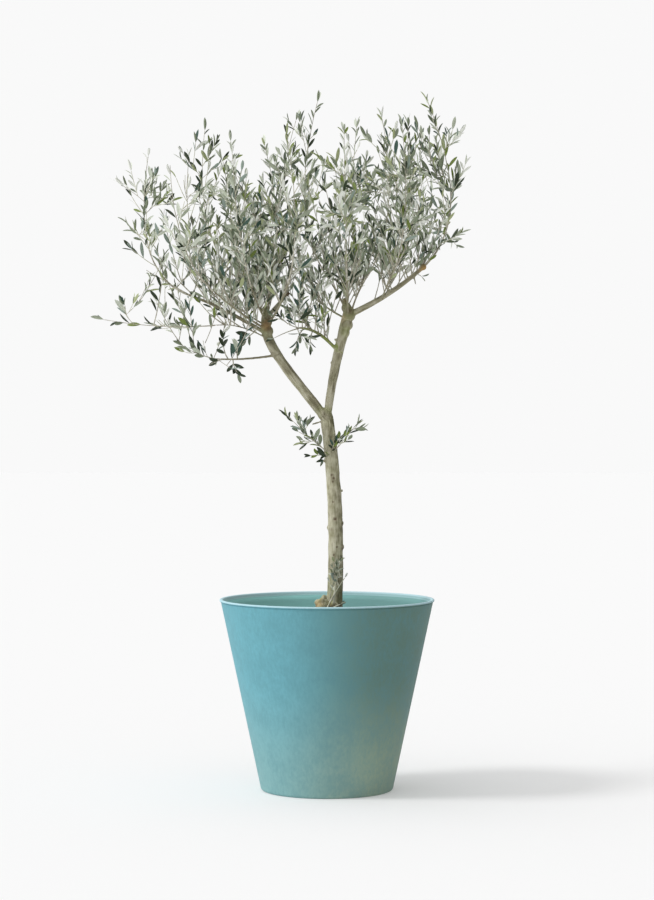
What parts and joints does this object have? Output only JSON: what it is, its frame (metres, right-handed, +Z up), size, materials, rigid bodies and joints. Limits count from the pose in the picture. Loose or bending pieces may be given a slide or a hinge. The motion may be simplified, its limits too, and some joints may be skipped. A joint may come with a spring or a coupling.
{
  "type": "potted olive tree",
  "caption": "Young olive tree with a forked trunk and an open upright crown of slender shoots, standing in a tall tapered round planter.",
  "frame": {"origin": "centre of the pot's flat underside, where it stands on the floor", "axes": "+Z up along the pot's axis, +X to the tree's right and -Y towards its front as pictured"},
  "size_m": [1.008, 0.5625, 1.7937],
  "materials": {
    "pot": "matte, finely mottled",
    "soil": "crumbly bark and peat compost",
    "bark": "smooth young bark, finely furrowed",
    "foliage": "leathery, satin above, silvery matte beneath"
  },
  "bodies": {
    "root": {"pot": "pot", "soil": "soil", "trunk": "bark", "left_bough": "bark", "right_bough": "bark", "left_outer_bough": "bark", "left_front_bough": "bark", "left_rear_bough": "bark", "left_low_bough": "bark", "hanging_bough": "bark", "middle_front_bough": "bark", "middle_rear_bough": "bark", "centre_front_bough": "bark", "left_top_bough": "bark", "middle_bough": "bark", "right_arm": "bark", "cross_bough": "bark", "right_front_bough": "bark", "right_rear_bough": "bark", "centre_rear_bough": "bark", "centre_bough": "bark", "right_middle_bough": "bark", "arm_front_bough": "bark", "arm_rear_bough": "bark", "left_outer_foliage": "foliage", "left_front_foliage": "foliage", "left_rear_foliage": "foliage", "left_low_foliage": "foliage", "hanging_foliage": "foliage", "left_top_foliage": "foliage", "middle_foliage": "foliage", "middle_front_foliage": "foliage", "middle_rear_foliage": "foliage", "centre_front_foliage": "foliage", "lower_middle_foliage": "foliage", "centre_foliage": "foliage", "centre_rear_foliage": "foliage", "right_middle_foliage": "foliage", "right_front_foliage": "foliage", "right_rear_foliage": "foliage", "right_outer_foliage": "foliage", "arm_front_foliage": "foliage", "arm_rear_foliage": "foliage", "trunk_sprig_left_foliage": "foliage", "trunk_sprig_right_foliage": "foliage", "base_sprig_foliage": "foliage"}
  },
  "joints": []
}
